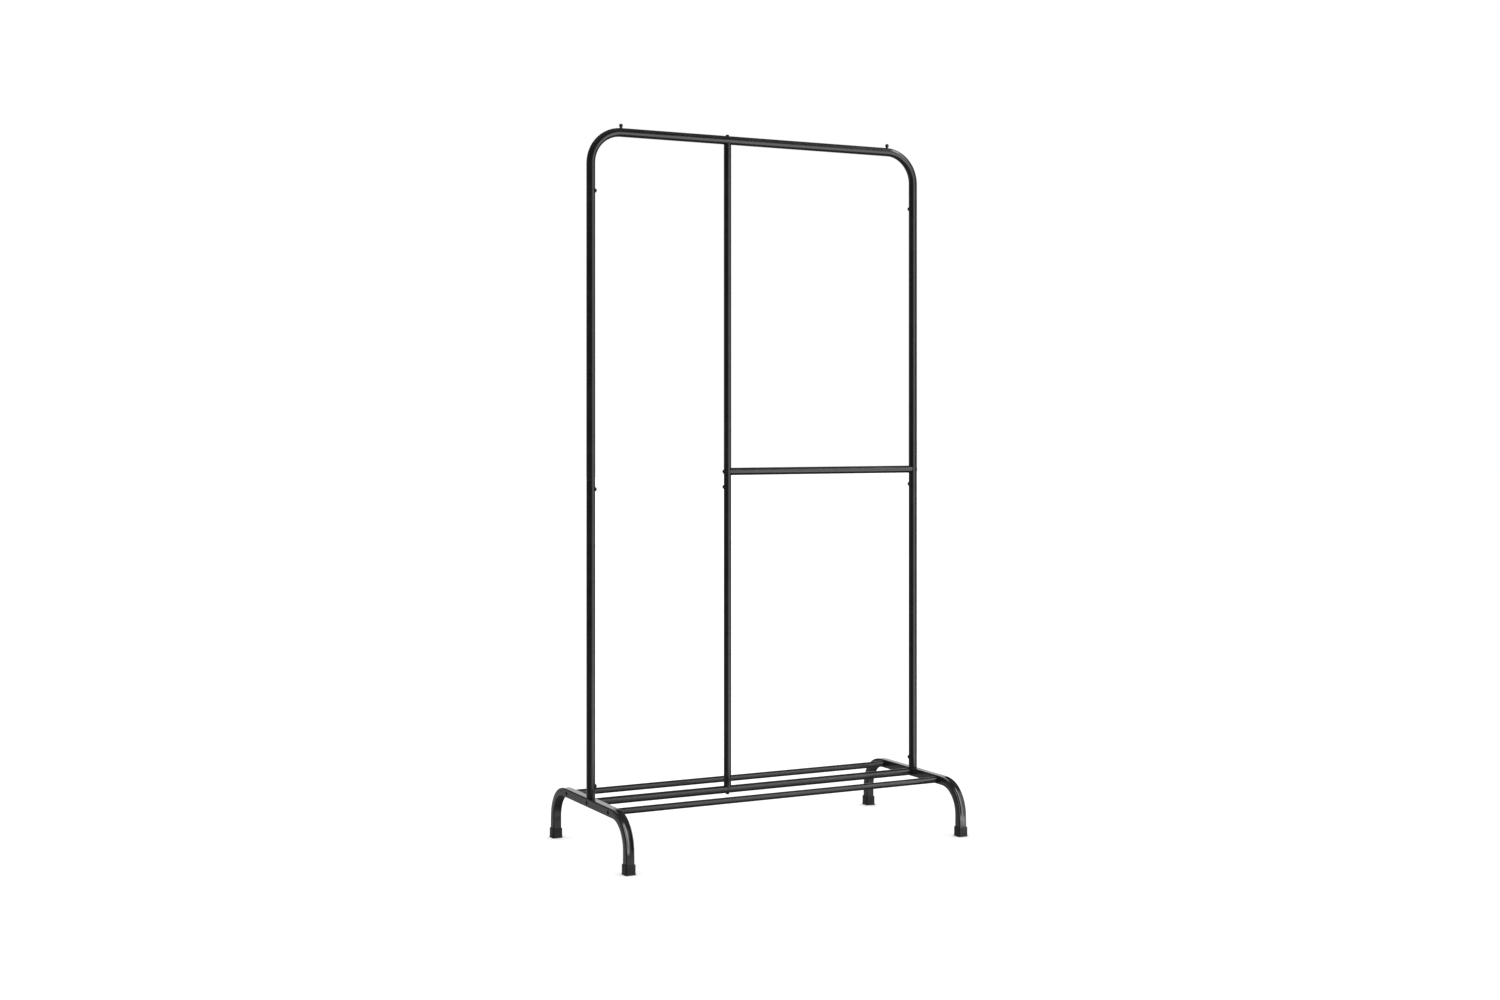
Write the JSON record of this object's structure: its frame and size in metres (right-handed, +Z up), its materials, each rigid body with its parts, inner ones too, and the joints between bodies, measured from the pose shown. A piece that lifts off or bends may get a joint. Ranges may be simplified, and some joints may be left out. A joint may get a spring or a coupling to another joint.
{
  "type": "garment rail",
  "caption": "Free-standing garment rail of round steel tube: rounded top hoop on side posts, a centre post with a short middle rail, square-tube end legs and a low bar shelf.",
  "frame": {"origin": "on the floor, midway between the side posts and midway between the front and back feet", "axes": "+Z up, +X along the hanging rail towards the side with the middle rail, +Y towards the back"},
  "size_m": [0.9562, 0.4892, 1.7975],
  "materials": {
    "powder_coat": "semi-gloss black powder coat",
    "cap_plastic": "matte black moulded plastic",
    "peg_plastic": "glossy black moulded plastic",
    "black_screw": "black finished steel screws",
    "zinc_steel": "zinc plated steel, inside the tubes"
  },
  "bodies": {
    "root": {"top_hoop": "powder_coat", "upper_post_left": "powder_coat", "upper_post_right": "powder_coat", "lower_post_left": "powder_coat", "lower_post_right": "powder_coat", "centre_post_upper": "powder_coat", "centre_post_lower": "powder_coat", "mid_rail": "powder_coat", "shelf_bar_front": "powder_coat", "shelf_bar_middle": "powder_coat", "shelf_bar_rear": "powder_coat", "end_leg_left": "powder_coat", "end_leg_right": "powder_coat", "foot_cap_left_front": "cap_plastic", "foot_cap_left_rear": "cap_plastic", "foot_cap_right_front": "cap_plastic", "foot_cap_right_rear": "cap_plastic", "hanger_stop_peg_left": "peg_plastic", "hanger_stop_peg_right": "peg_plastic", "post_spigot_left": "powder_coat", "post_spigot_right": "powder_coat", "post_screw_left_bottom": "black_screw", "post_nut_left_bottom": "zinc_steel", "post_screw_left_middle": "black_screw", "post_nut_left_middle": "zinc_steel", "post_screw_left_top": "black_screw", "post_nut_left_top": "zinc_steel", "post_screw_right_bottom": "black_screw", "post_nut_right_bottom": "zinc_steel", "post_screw_right_middle": "black_screw", "post_nut_right_middle": "zinc_steel", "post_screw_right_top": "black_screw", "post_nut_right_top": "zinc_steel", "shelf_screw_left_front": "black_screw", "shelf_bar_insert_left_front": "zinc_steel", "shelf_screw_left_middle": "black_screw", "shelf_bar_insert_left_middle": "zinc_steel", "shelf_screw_left_rear": "black_screw", "shelf_bar_insert_left_rear": "zinc_steel", "shelf_screw_right_front": "black_screw", "shelf_bar_insert_right_front": "zinc_steel", "shelf_screw_right_middle": "black_screw", "shelf_bar_insert_right_middle": "zinc_steel", "shelf_screw_right_rear": "black_screw", "shelf_bar_insert_right_rear": "zinc_steel", "centre_post_joint_screw": "black_screw", "centre_post_top_screw": "black_screw", "centre_post_bottom_screw": "black_screw", "mid_rail_screw_centre": "black_screw", "mid_rail_screw_right": "black_screw", "centre_post_nut": "zinc_steel", "centre_post_insert_top": "zinc_steel", "centre_post_insert_bottom": "zinc_steel", "mid_rail_insert_left": "zinc_steel", "mid_rail_insert_right": "zinc_steel"}
  },
  "joints": []
}
